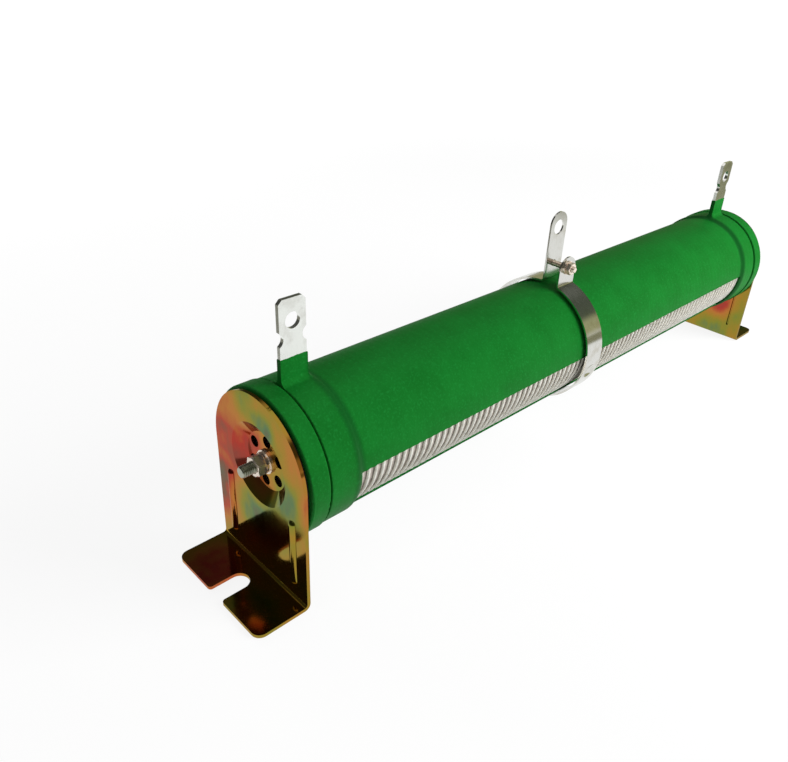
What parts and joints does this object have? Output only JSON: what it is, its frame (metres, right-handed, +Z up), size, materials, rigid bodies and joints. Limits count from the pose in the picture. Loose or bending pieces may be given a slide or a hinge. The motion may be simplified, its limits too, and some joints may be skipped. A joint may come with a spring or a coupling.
{
  "type": "adjustable wirewound resistor",
  "caption": "Green enamelled tubular wirewound resistor with a bare contact strip, a sliding clamp tap, terminal lugs and slotted end brackets.",
  "frame": {"origin": "on the floor below the middle of the tube", "axes": "+X along the tube, -Y towards the bare strip of wire, +Z up"},
  "size_m": [0.418, 0.0644, 0.12],
  "materials": {
    "ceramic": "matt fired clay",
    "wire": "bare alloy wire",
    "enamel": "satin green enamel",
    "terminal": "tinned",
    "gasket": "fibre sheet",
    "bracket": "yellow passivated zinc",
    "hardware": "zinc plate",
    "slider": "bright nickel plate",
    "screw": "zinc plate"
  },
  "bodies": {
    "resistor": {"ceramic_tube": "ceramic", "resistance_wire": "wire", "enamel_coating": "enamel", "terminal_band_left": "terminal", "terminal_band_right": "terminal", "gasket_left": "gasket", "gasket_right": "gasket", "bracket_left": "bracket", "bracket_right": "bracket", "tie_rod": "hardware", "flat_washer_left": "hardware", "flat_washer_right": "hardware", "lock_washer_left": "hardware", "lock_washer_right": "hardware", "hex_nut_left": "hardware", "hex_nut_right": "hardware"},
    "slider": {"slider_band": "slider", "slider_screw": "screw", "slider_washer": "screw", "slider_nut": "screw"}
  },
  "joints": [
    {"name": "slider_travel", "type": "slide", "parent": "resistor", "child": "slider", "axis": [1, 0, 0], "range_m": [-0.142, 0.157]}
  ]
}
